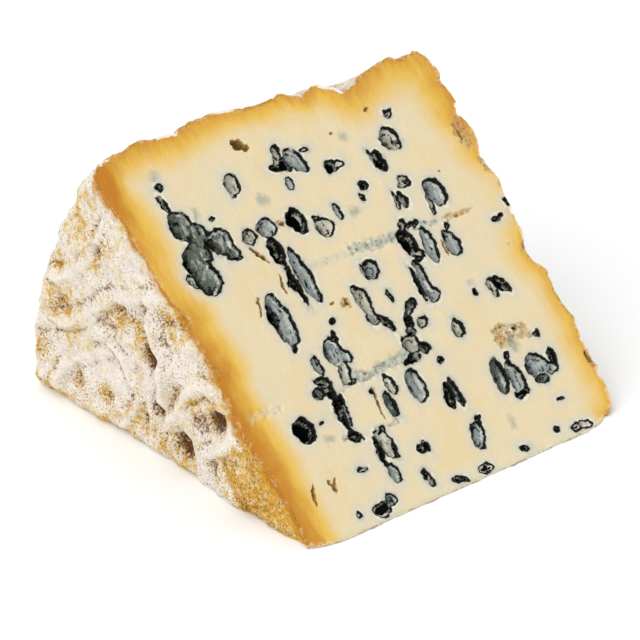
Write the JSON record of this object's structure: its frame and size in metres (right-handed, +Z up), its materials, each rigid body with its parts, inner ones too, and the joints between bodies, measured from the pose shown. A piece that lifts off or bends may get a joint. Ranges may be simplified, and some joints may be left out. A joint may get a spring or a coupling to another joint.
{
  "type": "blue cheese wedge",
  "caption": "Wedge of blue cheese from a flat drum, with mould-lined holes in its cut faces and a rough natural rind, lying on one cut face.",
  "frame": {"origin": "bottom centre of the wedge's box, on the lower cut face that it lies on", "axes": "+X along the sharp tip edge, which was the axis of the drum; +Y from the tip edge back to the round rind; +Z up, out of the surface it lies on"},
  "size_m": [0.101, 0.1024, 0.069],
  "materials": {
    "cheese": "matte"
  },
  "bodies": {
    "root": {"cheese_wedge": "cheese"}
  },
  "joints": []
}
